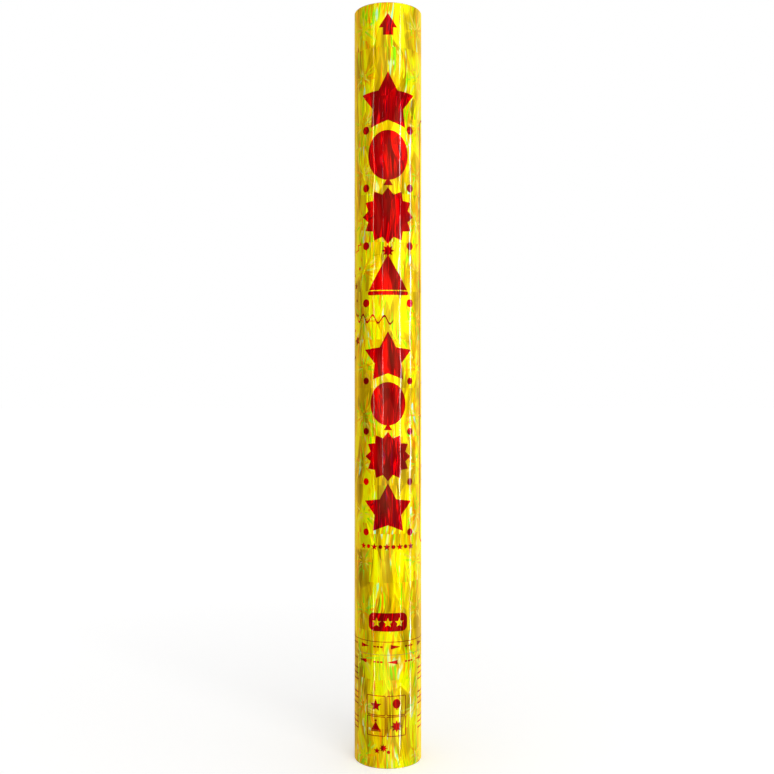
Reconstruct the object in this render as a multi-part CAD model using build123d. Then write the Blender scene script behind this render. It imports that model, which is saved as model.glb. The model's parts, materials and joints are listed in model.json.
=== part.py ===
from build123d import *
import os
from math import floor, radians, sqrt

# Twist-action confetti popper: a film-wrapped paper tube in two halves that turn on each other.
# Lengths in millimetres, angles in degrees. Origin on the floor under the tube's centre, Z up
# along the tube, printed front towards -Y. Heights stack up from the floor to the charge.

# Paper tube and its film
tube_length = 560.0
tube_diameter = 50.0
tube_wall = 1.6
grip_length = 83.0
seam_gap = 0.2
film_thickness = 0.2
film_end_trim = 0.3
film_seam_trim = 0.05
glue_line = 0.02

# Clearances, radial unless said otherwise
glue_fit = 0.05
slip_fit = 0.1
running_gap = 0.3
thrust_gap = 0.25
rest_gap = 0.3
cut_overrun = 2.0

# Base cap
base_recess = 1.5
base_floor = 2.0
base_skirt_wall = 1.6
base_rib_thickness = 1.6
base_rib_height = 13.5
base_lug_height = 3.0
base_dish_depth = 0.8
base_dish_margin = 5.0
base_lead_in = 0.6

# Air cartridge
can_clearance = 1.8
can_wall = 1.2
can_corner = 3.0
can_stand_width = 1.0
dome_rise = 8.0
shoulder_above_seam = 9.0
shoulder_height = 12.0
neck_share = 0.55
neck_wall = 2.0
neck_height = 13.0

# Fill grommet in the cartridge's dome
grommet_stem_diameter = 5.0
grommet_head_diameter = 9.0
grommet_head_thickness = 1.6
grommet_bulb_diameter = 7.6
grommet_bulb_height = 4.0
grommet_flat_margin = 1.0

# Cartridge collar
collar_standoff = 3.0
collar_wall = 1.4
collar_rib_width = 2.0
collar_rib_count = 12

# Bearing sleeve
sleeve_wall = 1.5
sleeve_journal_depth = 37.5
sleeve_foot_gap = 0.5
sleeve_crown = 3.0

# Valve body
gasket_thickness = 1.3
valve_skirt_wall = 2.2
valve_skirt_length = 10.0
flange_width = 2.6
flange_thickness = 3.0
land_height = 6.2
land_step = 1.5
tower_wall = 2.5
window_height = 6.0
window_sill = 1.5
window_width_share = 0.45

# Valve plug, its seal and its cross pin
twist_angle = 90.0
plug_lift = 6.0
plug_entry = 1.0
plug_bore_gap = 0.15
plug_head_gap = 0.2
plug_head_rise = 6.5
plug_head_height = 10.0
seal_section = 1.8
seal_rise = 1.9
seal_groove_gap = 0.05
pin_diameter = 3.0
pin_inset = 0.5
pin_chamfer = 0.3
pin_clearance = 0.15

# Breech carrier with the cam cage, and the ring that holds the valve up in it
retainer_thickness = 3.0
plate_thickness = 3.0
cage_wall = 3.2
cage_rise = 2.0
gusset_count = 4
gusset_thickness = 1.6
gusset_height = 9.0
gusset_reach_share = 0.8

# Wad under the charge
wad_fit = 0.3
wad_wall = 1.5
wad_skirt_depth = 11.0
wad_disc = 3.0
wad_rib_thickness = 1.2
wad_rib_depth = 5.0
card_fit = 0.6
card_thickness = 5.7

# Confetti and streamers
charge_fit = 0.5
slip_length = 52.0
bundle_gap = 0.8
stack_gap = 0.5
core_bundle_count = 8
side_bundle_count = 3
side_depth_share = 0.75
streamer_width = 14.0
streamer_core_diameter = 5.0
streamer_layers = 3
headspace = 12.0
confetti_colours = ("red", "gold", "green", "blue")
streamer_colours = ("red", "silver", "green")

# Muzzle cap
cap_recess = 2.5
cap_depth = 12.0
cap_wall = 1.2
cap_floor = 1.5
cap_corner = 1.0

# Radii, from the outside in
tube_radius = tube_diameter / 2
tube_bore = tube_radius - tube_wall
film_bore = tube_radius + glue_line
film_radius = film_bore + film_thickness
sleeve_radius = tube_bore - slip_fit
sleeve_bore = sleeve_radius - sleeve_wall
can_radius = sleeve_bore - can_clearance
neck_radius = can_radius * neck_share
neck_bore = neck_radius - neck_wall
valve_skirt_bore = neck_radius + glue_fit
valve_skirt_radius = valve_skirt_bore + valve_skirt_wall
flange_radius = valve_skirt_radius + flange_width
tower_radius = neck_radius
tower_bore = tower_radius - tower_wall
land_bore = tower_bore - land_step
cage_bore = tower_radius + running_gap
cage_radius = cage_bore + cage_wall
carrier_radius = sleeve_bore - slip_fit
pocket_radius = flange_radius + running_gap
charge_radius = tube_bore - charge_fit

# Heights, from the floor up
base_floor_top = base_recess + base_floor
cartridge_seat = base_floor_top + base_rib_height
base_top = cartridge_seat + base_lug_height
dome_height = cartridge_seat + dome_rise
collar_bottom = base_top + collar_standoff
sleeve_bottom = grip_length - sleeve_journal_depth
collar_top = sleeve_bottom - sleeve_foot_gap
shoulder_bottom = grip_length + shoulder_above_seam
shoulder_top = shoulder_bottom + shoulder_height
neck_top = shoulder_top + neck_height
land_bottom = neck_top + gasket_thickness
land_top = land_bottom + land_height
flange_top = land_bottom + flange_thickness
retainer_top = land_bottom - thrust_gap
plate_bottom = flange_top + thrust_gap
plate_top = plate_bottom + plate_thickness
plug_head_bottom = land_top + plug_head_rise
plug_head_top = plug_head_bottom + plug_head_height
pin_height = (plug_head_bottom + plug_head_top) / 2
tower_top = plug_head_top + plug_lift
cage_top = tower_top + cage_rise
sleeve_top = cage_top + sleeve_crown
wad_bottom = sleeve_top + rest_gap
wad_disc_bottom = wad_bottom + wad_skirt_depth
wad_top = wad_disc_bottom + wad_disc
card_top = wad_top + card_thickness
charge_bottom = card_top + rest_gap
barrel_bottom = grip_length + seam_gap
cap_rim = tube_length - cap_recess
cap_bottom = cap_rim - cap_depth

# As many tiers of confetti as the barrel has room for under the streamers
tier_pitch = slip_length + stack_gap
layer_pitch = streamer_width + stack_gap
charge_room = cap_bottom - headspace - streamer_layers * layer_pitch - charge_bottom
tier_count = floor(charge_room / tier_pitch)
streamer_bottom = charge_bottom + tier_count * tier_pitch


def disc(radius, bottom, top):
    """Round plate about the tube's axis."""
    return Pos(0, 0, bottom) * extrude(Circle(radius), top - bottom)


def ring(radius, bore, bottom, top):
    """Plain tube about the tube's axis."""
    return Pos(0, 0, bottom) * extrude(Circle(radius) - Circle(bore), top - bottom)


def turned(*outline):
    """Solid turned about the tube's axis from edges drawn as (radius, height)."""
    return revolve(Plane.XZ * make_face(outline), Axis.Z)


def cross_bore(radius, reach, height):
    """Round cutter or rod along X through the tube's axis."""
    return Pos(0, 0, height) * Rot(0, 90, 0) * Cylinder(radius, 2 * reach)


def upright_rib(length, thickness, bottom, top):
    """Flat rib along X through the tube's axis."""
    rib = Box(length, thickness, top - bottom, align=(Align.CENTER, Align.CENTER, Align.MIN))
    return Pos(0, 0, bottom) * rib


def barrel_tube():
    return ring(tube_radius, tube_bore, barrel_bottom, tube_length)


def grip_tube():
    return ring(tube_radius, tube_bore, 0, grip_length)


def barrel_film():
    return ring(film_radius, film_bore, barrel_bottom + film_seam_trim, tube_length - film_end_trim)


def grip_film():
    return ring(film_radius, film_bore, film_end_trim, grip_length - film_seam_trim)


def bearing_sleeve():
    """Journal glued into the barrel, on which the grip turns."""
    return ring(sleeve_radius, sleeve_bore, sleeve_bottom, sleeve_top)


def base_cap():
    """Plug in the grip's foot, with crossed ribs that seat and centre the cartridge."""
    radius = tube_bore - glue_fit
    skirt_bore = radius - base_skirt_wall
    cup = disc(radius, base_recess, base_top) - disc(skirt_bore, base_floor_top, base_top + cut_overrun)
    cup -= disc(radius - base_dish_margin, base_recess - cut_overrun, base_recess + base_dish_depth)
    rib = upright_rib(2 * radius - base_skirt_wall, base_rib_thickness, base_floor_top, base_top)
    nest = disc(can_radius + glue_fit, cartridge_seat, base_top + cut_overrun)
    cap = cup + ((rib + Rot(0, 0, 90) * rib) - nest)
    rim = cap.edges().filter_by(GeomType.CIRCLE).group_by(SortBy.RADIUS)[-1]
    return chamfer(rim, base_lead_in)


def cartridge_body():
    """Drawn can with a pushed-in foot, a coned shoulder and a plain neck."""
    inner_radius = can_radius - can_wall
    stand_outside = can_radius - can_corner
    stand_inside = stand_outside - can_stand_width - can_wall
    flat = grommet_head_diameter / 2 + grommet_flat_margin
    hole = grommet_stem_diameter / 2 + glue_fit
    corner_top = cartridge_seat + can_corner
    inside_foot = cartridge_seat + can_wall
    inside_dome = dome_height + can_wall
    return turned(Polyline(
        (hole, dome_height), (flat, dome_height),
        (stand_inside, cartridge_seat), (stand_outside, cartridge_seat),
        (can_radius, corner_top), (can_radius, shoulder_bottom), (neck_radius, shoulder_top),
        (neck_radius, neck_top), (neck_bore, neck_top), (neck_bore, shoulder_top),
        (inner_radius, shoulder_bottom), (inner_radius, corner_top), (stand_outside, inside_foot),
        (stand_inside + can_wall, inside_foot), (flat + can_wall, inside_dome),
        (hole, inside_dome), close=True))


def fill_grommet():
    """Rubber bung that closes the fill hole in the dome."""
    stem = grommet_stem_diameter / 2
    head = grommet_head_diameter / 2
    bulb = grommet_bulb_diameter / 2
    inside_dome = dome_height + can_wall
    head_bottom = dome_height - grommet_head_thickness
    bulb_top = inside_dome + grommet_bulb_height
    return turned(Polyline(
        (0, head_bottom), (head, head_bottom), (head, dome_height), (stem, dome_height),
        (stem, inside_dome), (bulb, inside_dome), (stem, bulb_top), (0, bulb_top), close=True))


def cartridge_collar():
    """Ribbed spacer glued between the cartridge and the grip tube."""
    bore = can_radius + glue_fit
    outside = tube_bore - glue_fit
    body = ring(bore + collar_wall, bore, collar_bottom, collar_top)
    tooth = upright_rib(2 * outside + cut_overrun, collar_rib_width, collar_bottom, collar_top)
    teeth = [Rot(0, 0, turn * 360 / collar_rib_count) * tooth for turn in range(collar_rib_count // 2)]
    band = ring(outside, bore + collar_wall / 2, collar_bottom, collar_top)
    return body + [band & one for one in teeth]


def valve_body():
    """Crimped on the neck: skirt, thrust flange, seal land and slotted tower."""
    skirt_bottom = neck_top - valve_skirt_length
    blank = turned(Polyline(
        (land_bore, land_bottom), (valve_skirt_bore, land_bottom), (valve_skirt_bore, skirt_bottom),
        (valve_skirt_radius, skirt_bottom), (valve_skirt_radius, land_bottom),
        (flange_radius, land_bottom), (flange_radius, flange_top),
        (tower_radius, flange_top), (tower_radius, tower_top),
        (tower_bore, tower_top), (tower_bore, land_top), (land_bore, land_top), close=True))
    reach = tower_radius + cut_overrun
    slot_half = pin_diameter / 2 + pin_clearance
    slot = upright_rib(2 * reach, 2 * slot_half, pin_height, tower_top + cut_overrun)
    slot += cross_bore(slot_half, reach, pin_height)
    return blank - slot - Rot(0, 0, 90) * gas_window(reach)


def gas_window(reach):
    """Cutter along X for the two ports that let the air out once the plug has lifted."""
    sill = land_top + window_sill
    return upright_rib(2 * reach, 2 * tower_radius * window_width_share, sill, sill + window_height)


def neck_gasket():
    return ring(neck_radius, neck_bore, neck_top, land_bottom)


def cam_slots():
    """Two opposite helical slots that raise the cross pin while the grip is twisted."""
    reach = cage_radius + cut_overrun
    middle = (cage_bore + cage_radius) / 2
    steepness = plug_lift / (cage_bore * radians(twist_angle))
    height = pin_diameter * sqrt(1 + steepness**2) + 2 * pin_clearance
    start = Plane.XZ * Pos(middle, pin_height) * Rectangle(cage_wall + 2 * cut_overrun, height)
    climb = Helix(plug_lift * 360 / twist_angle, plug_lift, middle, (0, 0, pin_height), lefthand=True)
    run = sweep(start, climb, is_frenet=True)
    end_bore = cross_bore(pin_diameter / 2 + pin_clearance, reach, pin_height)
    ends = [end_bore, Pos(0, 0, plug_lift) * Rot(0, 0, -twist_angle) * end_bore]
    return [run, Rot(0, 0, 180) * run] + ends


def breech_carrier():
    """Moulding glued in the sleeve: pocket for the valve's flange, breech plate and cam cage."""
    body = ring(carrier_radius, pocket_radius, retainer_top, plate_bottom)
    body += ring(carrier_radius, cage_bore, plate_bottom, plate_top)
    cage = ring(cage_radius, cage_bore, plate_top, cage_top)
    body += cage
    reach = (carrier_radius - cage_radius) * gusset_reach_share
    inside = (cage_bore + cage_radius) / 2
    gusset_top = plate_top + gusset_height
    side = Polyline((inside, plate_top), (cage_radius + reach, plate_top),
                    (cage_radius, gusset_top), (inside, gusset_top), close=True)
    gusset = extrude(Plane.XZ * make_face(side), gusset_thickness / 2, both=True)
    half_step = 180 / gusset_count
    body += [Rot(0, 0, half_step + turn * 360 / gusset_count) * gusset for turn in range(gusset_count)]
    return body - cam_slots() - gas_window(cage_radius + cut_overrun)


def valve_retainer():
    """Ring glued under the carrier, which keeps the valve's flange in its pocket."""
    bore = valve_skirt_radius + running_gap
    return ring(carrier_radius, bore, retainer_top - retainer_thickness, retainer_top)


def seal_centre_radius():
    return land_bore - seal_groove_gap - seal_section / 2


def valve_plug():
    """Piston that shuts the seal land, with a groove for its seal and a hole for its pin."""
    stem = land_bore - plug_bore_gap
    head = tower_bore - plug_head_gap
    stem_bottom = land_bottom + plug_entry
    seal_height = stem_bottom + seal_rise
    groove_half = seal_section / 2 + seal_groove_gap
    groove_floor = seal_centre_radius() - groove_half
    blank = turned(Polyline(
        (0, stem_bottom), (stem, stem_bottom), (stem, seal_height - groove_half),
        (groove_floor, seal_height - groove_half), (groove_floor, seal_height + groove_half),
        (stem, seal_height + groove_half), (stem, plug_head_bottom), (head, plug_head_bottom),
        (head, plug_head_top), (0, plug_head_top), close=True))
    return blank - cross_bore(pin_diameter / 2 + glue_fit, tower_radius, pin_height)


def plug_seal():
    """Square-cut rubber ring in the plug's groove."""
    centre = seal_centre_radius()
    height = land_bottom + plug_entry + seal_rise
    half = seal_section / 2
    return ring(centre + half, centre - half, height - half, height + half)


def cross_pin():
    """Steel pin through the plug, riding in the tower's slots and the cage's cam slots."""
    pin = cross_bore(pin_diameter / 2, cage_radius - pin_inset, pin_height)
    return chamfer(pin.edges().filter_by(GeomType.CIRCLE), pin_chamfer)


def wad_cup():
    """Gas seal under the charge, skirt downwards, stiffened by crossed ribs."""
    radius = tube_bore - wad_fit
    skirt_bore = radius - wad_wall
    cup = disc(radius, wad_bottom, wad_top) - disc(skirt_bore, wad_bottom - cut_overrun, wad_disc_bottom)
    rib_bottom = wad_disc_bottom - wad_rib_depth
    rib = upright_rib(2 * radius - wad_wall, wad_rib_thickness, rib_bottom, wad_disc_bottom)
    return cup + rib + Rot(0, 0, 90) * rib


def wad_card():
    return disc(tube_bore - card_fit, wad_top, card_top)


def slip_stack(width, depth, count, bottom):
    """Bundles of confetti slips on end, side by side across the depth."""
    leaf = (depth - (count - 1) * bundle_gap) / count
    bundle = Box(width, leaf, slip_length, align=(Align.CENTER, Align.MIN, Align.MIN))
    return [Pos(0, number * (leaf + bundle_gap) - depth / 2, bottom) * bundle for number in range(count)]


def confetti():
    """Tiers of slips, four stacks in the core and four flat ones at the sides, colours mixed."""
    solids = {colour: [] for colour in confetti_colours}
    core_side = charge_radius / sqrt(2) - stack_gap / 2
    core_offset = (core_side + stack_gap) / 2
    side_start = core_side + stack_gap / 2 + stack_gap
    side_depth = (charge_radius - side_start) * side_depth_share
    side_width = 2 * sqrt(charge_radius**2 - (side_start + side_depth) ** 2)
    for tier in range(tier_count):
        bottom = charge_bottom + tier * tier_pitch
        for quarter in range(len(confetti_colours)):
            turn = Rot(0, 0, 90 * quarter)
            core = slip_stack(core_side, core_side, core_bundle_count, bottom)
            side = slip_stack(side_width, side_depth, side_bundle_count, bottom)
            core_colour = confetti_colours[(tier + quarter) % len(confetti_colours)]
            side_colour = confetti_colours[(tier + quarter + 2) % len(confetti_colours)]
            solids[core_colour] += [turn * Pos(core_offset, core_offset, 0) * one for one in core]
            solids[side_colour] += [turn * Pos(0, side_start + side_depth / 2, 0) * one for one in side]
    return {f"confetti_{colour}": Compound(some) for colour, some in solids.items()}


def streamers():
    """Rolls of streamer tape, three to a layer, lying flat on the confetti."""
    roll_radius = (sqrt(3) * charge_radius - stack_gap) / (2 + sqrt(3))
    roll = Circle(roll_radius) - Circle(streamer_core_diameter / 2)
    nodes = {}
    for number, colour in enumerate(streamer_colours):
        rolls = []
        for layer in range(streamer_layers):
            turn = Rot(0, 0, number * 360 / len(streamer_colours))
            place = turn * Pos(charge_radius - roll_radius, 0, streamer_bottom + layer * layer_pitch)
            rolls.append(place * extrude(roll, streamer_width))
        nodes[f"streamers_{colour}"] = Compound(rolls)
    return nodes


def muzzle_cap():
    """Friction-fit cup that closes the barrel, open side outwards."""
    radius = tube_bore - slip_fit
    cup = disc(radius, cap_bottom, cap_rim)
    cup -= disc(radius - cap_wall, cap_bottom + cap_floor, cap_rim + cut_overrun)
    return chamfer(cup.edges().filter_by(GeomType.CIRCLE).group_by(Axis.Z)[0], cap_corner)


single_pieces = (
    barrel_tube, barrel_film, bearing_sleeve, breech_carrier, valve_retainer,
    grip_tube, grip_film, base_cap, cartridge_body, cartridge_collar, fill_grommet,
    valve_body, neck_gasket,
    valve_plug, plug_seal, cross_pin,
    wad_cup, wad_card, muzzle_cap,
)

nodes = {piece.__name__: piece() for piece in single_pieces}
nodes |= confetti() | streamers()

os.makedirs("parts", exist_ok=True)
for name, shape in nodes.items():
    export_step(shape, f"parts/{name}.step")
print(len(nodes), "nodes,", tier_count, "tiers of confetti")
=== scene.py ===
import json
import math
import random

import bpy
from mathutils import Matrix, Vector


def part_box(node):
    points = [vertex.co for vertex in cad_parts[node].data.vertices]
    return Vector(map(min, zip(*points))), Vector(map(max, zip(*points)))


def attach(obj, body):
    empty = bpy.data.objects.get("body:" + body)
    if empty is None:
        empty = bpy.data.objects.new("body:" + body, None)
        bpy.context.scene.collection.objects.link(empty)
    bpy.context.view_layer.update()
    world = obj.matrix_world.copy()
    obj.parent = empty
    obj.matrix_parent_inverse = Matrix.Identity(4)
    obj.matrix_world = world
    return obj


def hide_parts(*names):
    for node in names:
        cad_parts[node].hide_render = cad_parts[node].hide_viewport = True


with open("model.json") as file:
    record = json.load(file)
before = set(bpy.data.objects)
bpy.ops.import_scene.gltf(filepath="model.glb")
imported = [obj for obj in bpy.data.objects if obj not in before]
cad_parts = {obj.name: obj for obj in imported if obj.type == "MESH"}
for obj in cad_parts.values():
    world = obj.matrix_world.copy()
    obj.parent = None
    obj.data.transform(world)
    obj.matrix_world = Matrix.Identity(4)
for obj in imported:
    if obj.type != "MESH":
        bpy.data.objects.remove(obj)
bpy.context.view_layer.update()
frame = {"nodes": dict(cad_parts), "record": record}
nodes = frame["nodes"]

# Looks of a twist-action confetti popper, in metres; a size in millimetres is written as a count of mm
mm = 0.001

# Film round the tube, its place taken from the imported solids
barrel_low, barrel_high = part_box("barrel_film")
grip_low, grip_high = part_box("grip_film")
film_radius = barrel_high.x
film_thickness = 0.12 * mm
film_sides = 192
film_ring_pitch = 5 * mm

# Slack of the film on the paper: waves round the tube, their rise, their start and their share
film_slack = 0.05 * mm
slack_waves = ((19, 61 * mm, 0.6, 0.42), (11, -96 * mm, 2.1, 0.36), (29, 33 * mm, 4.0, 0.22))

# Lap of the film over itself behind, which climbs on to its own edge over a share of its width
lap_edge = math.pi
lap_width = 8 * mm
lap_angle = lap_width / film_radius
lap_climb = 0.4
lap_lift = 0.14 * mm

# Most values of a noise lie between these two
noise_low = 0.3
noise_high = 0.7

# Faces that meet at less than this are shaded as one
smooth_angle = math.radians(40)

# An edge runs along an axis where it gains more than this on it
least_run = 0.1 * mm


def linear(hex_colour):
    """Linear RGBA of an sRGB hex colour."""
    shares = [int(hex_colour[place:place + 2], 16) / 255 for place in (0, 2, 4)]
    return [*(share / 12.92 if share <= 0.04045 else ((share + 0.055) / 1.055) ** 2.4
              for share in shares), 1.0]


def link(tree, node, inputs):
    """Gives a node's inputs their values, or links them to a socket or to a node's first output."""
    for name, value in inputs.items():
        if isinstance(value, bpy.types.Node):
            value = value.outputs[0]
        if isinstance(value, bpy.types.NodeSocket):
            tree.links.new(value, node.inputs[name])
        else:
            node.inputs[name].default_value = value


def add(tree, kind, inputs=None, stops=None, **settings):
    """Adds a shader node, with its settings, its colour stops and what its inputs take. Inputs go by
    name, or by number where a node has several of one name."""
    node = tree.nodes.new("ShaderNode" + kind)
    for name, value in settings.items():
        setattr(node, name, value)
    if stops:
        elements = node.color_ramp.elements
        elements.remove(elements[-1])
        elements[0].position, elements[0].color = stops[0][0], linear(stops[0][1])
        for place, colour in stops[1:]:
            elements.new(place).color = linear(colour)
    link(tree, node, inputs or {})
    return node


def surface(name, **values):
    """New material, its node tree and its shader, with the values that are the same all over."""
    material = bpy.data.materials.new(name)
    material.use_nodes = True
    shader = material.node_tree.nodes["Principled BSDF"]
    for socket, value in values.items():
        shader.inputs[socket.replace("_", " ").title().replace("Ior", "IOR")].default_value = value
    return material, material.node_tree, shader


# Embossed film: a facet's width and height in millimetres, and an offset that sets its pattern apart
emboss = {
    "bands": (5.5, 40.0, 7.9),
    "shards": (8.0, 26.0, 3.7),
    "splinters": (4.0, 24.0, 31.9),
    "slivers": (1.7, 24.0, 11.3),
    # Painted glint specks: highlights painted into the film's colour, sized like facets but not embossed
    "painted_glints": (3.0, 18.0, 23.1),
    "crowds": (12.0, 34.0, 41.3),
    "streaks": (1.1, 16.0, 0.0),
}

# Facets lean this way and that by half of this many millimetres at most, and their edges are soft
shard_lean = 14.0
lean_width = 16 * mm
lean_height = 48 * mm
facet_softness = 0.22

# Each plate of the master was laid a little to one side of the last, in millimetres, which leaves seams
plate_height = 35.6
plate_edge = 29.0
plate_shift = 7.3

# Shares of the tone that bands, shards and splinters set
band_share = 0.3
shard_share = 0.45
splinter_share = 0.25

# Where slivers and the painted glint specks (painted highlights) start to show, how soon they show fully,
# and how uneven their crowds are
sliver_least = 0.57
painted_glint_least = 0.74
strand_fade = 0.08
crowd_share = 0.4

# Bursts of rays on a lattice, one row to a plate, in millimetres; a ray's ends are shares of its reach
burst_spread = 45.0
burst_turn = -20.0
burst_height = 8.0
burst_reach = 17.0
burst_rays = 22.0
ray_width = 1.3
ray_shortest = 0.3
ray_first_start = 0.1
ray_last_start = 0.6

# Steps in a ray's number from one burst to the next, round the tube and up it
burst_turn_step = 57
burst_height_step = 31

# Facets are duller and brighter mirrors, turned by a slope that is steeper than real so that it shows
facet_bright = 0.32
facet_dull = 0.56
facet_depth = 0.9 * mm

# Where the film is pulled tight its clear face shines, and where it is slack it is dull
pull_width = 13 * mm
pull_height = 46 * mm
pull_slack = 0.42
pull_tight = 0.6
slack_gloss = 0.1

# Share of the way from face on to edge on where the low-angle gloss starts, and where it is full
low_start = 0.3
low_full = 0.5

# What the eye gets from each kind of facet, dull to bright, on bare film and under the ink; the glint tones
# are painted highlights
gold_facets = {
    "shards": ((0.2, "B09000"), (0.34, "CCAC00"), (0.46, "E8C600"), (0.54, "FADC00"), (0.64, "FFFF00"),
               (0.82, "F8FF00")),
    "slivers": ((0.36, "FFA000"), (0.47, "FFC000"), (0.52, "FFFF20"), (0.58, "D8FF00"),
                (0.66, "90F000")),
    "painted_glints": ((0.4, "FFFF90"), (0.5, "E8FFB0"), (0.6, "B0FFE0")),
    "rays": ((0.0, "FF8800"), (0.25, "FFB400"), (0.45, "FFFF70"), (0.65, "78F000"), (0.85, "FFE400")),
}
red_facets = {
    "shards": ((0.2, "760004"), (0.38, "8A0006"), (0.5, "9E0006"), (0.6, "BC0004"), (0.76, "FF0000")),
    "slivers": ((0.4, "A00008"), (0.5, "FF0000"), (0.62, "80001A")),
    "painted_glints": ((0.4, "FF1008"), (0.6, "900838")),
    "rays": ((0.0, "8A000A"), (0.5, "F00404"), (0.8, "760014")),
}


def film_sheets(tree):
    """Place on the film in millimetres, round the tube and up it, and the two flat sheets that its
    facets lie on: one that leans this way and that, and one that is also cut into shifted plates."""
    place = add(tree, "TexCoord").outputs["Object"]
    split = add(tree, "SeparateXYZ", {0: place})
    front = add(tree, "Math", {0: split.outputs[1], 1: -1.0}, operation="MULTIPLY")
    angle = add(tree, "Math", {0: split.outputs[0], 1: front}, operation="ARCTAN2")
    around = add(tree, "Math", {0: angle, 1: film_radius / mm}, operation="MULTIPLY")
    along = add(tree, "Math", {0: split.outputs[2], 1: 1 / mm}, operation="MULTIPLY")
    drift_place = add(tree, "VectorMath", {0: place, 1: (1 / lean_width, 1 / lean_width, 1 / lean_height)},
                      operation="MULTIPLY")
    drift = add(tree, "TexNoise", {"Vector": drift_place, "Scale": 1.0, "Detail": 0.0})
    lean = add(tree, "Math", {0: drift, 1: shard_lean, 2: -shard_lean / 2}, operation="MULTIPLY_ADD")
    leaning = add(tree, "Math", {0: around, 1: lean}, operation="ADD")
    plate_count = add(tree, "Math", {0: along, 1: 1 / plate_height, 2: -plate_edge / plate_height},
                      operation="MULTIPLY_ADD")
    plate = add(tree, "Math", {0: plate_count}, operation="FLOOR")
    shifted = add(tree, "Math", {0: plate, 1: plate_shift, 2: leaning}, operation="MULTIPLY_ADD")
    leaning_sheet = add(tree, "CombineXYZ", {0: leaning, 1: along})
    plated_sheet = add(tree, "CombineXYZ", {0: shifted, 1: along})
    return around, along, leaning_sheet, plated_sheet


def laid_out(tree, sheet, kind):
    """Place on a sheet, counted in widths and heights of what is embossed there."""
    width, height, offset = emboss[kind]
    return add(tree, "VectorMath", {0: sheet, 1: (1 / width, 1 / height, 0), 2: (offset, offset, 0)},
               operation="MULTIPLY_ADD")


def cells(tree, place):
    """Facets, and the colours drawn for them."""
    facet = add(tree, "TexVoronoi", {"Vector": place, "Scale": 1.0, "Smoothness": facet_softness},
                feature="SMOOTH_F1", voronoi_dimensions="2D")
    return facet, add(tree, "SeparateColor", {0: facet.outputs["Color"]})


def film_strands(tree, facets, leaning, plated, shown):
    """Thin slivers over the shards and small painted glint specks, painted highlights, over both, crowded
    in some places, few in others.
    """
    lively = add(tree, "TexNoise", {"Vector": laid_out(tree, leaning, "crowds"), "Scale": 1.0,
                                    "Detail": 0.0}, noise_dimensions="2D")
    crowd = add(tree, "Math", {0: lively, 1: crowd_share, 2: -crowd_share / 2}, operation="MULTIPLY_ADD")
    for kind, least in (("slivers", sliver_least), ("painted_glints", painted_glint_least)):
        strands = add(tree, "TexNoise", {"Vector": laid_out(tree, plated, kind), "Scale": 1.0,
                                         "Detail": 1.0}, noise_dimensions="2D")
        strand_draw = add(tree, "SeparateColor", {0: strands.outputs["Color"]})
        crowded = add(tree, "Math", {0: strand_draw.outputs[0], 1: crowd}, operation="ADD")
        here = add(tree, "MapRange", {0: crowded, 1: least, 2: least + strand_fade})
        tone = add(tree, "ValToRGB", {0: strand_draw.outputs[1]}, stops=facets[kind])
        shown = add(tree, "Mix", {0: here, 6: shown, 7: tone}, data_type="RGBA").outputs[2]
    return shown


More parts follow.
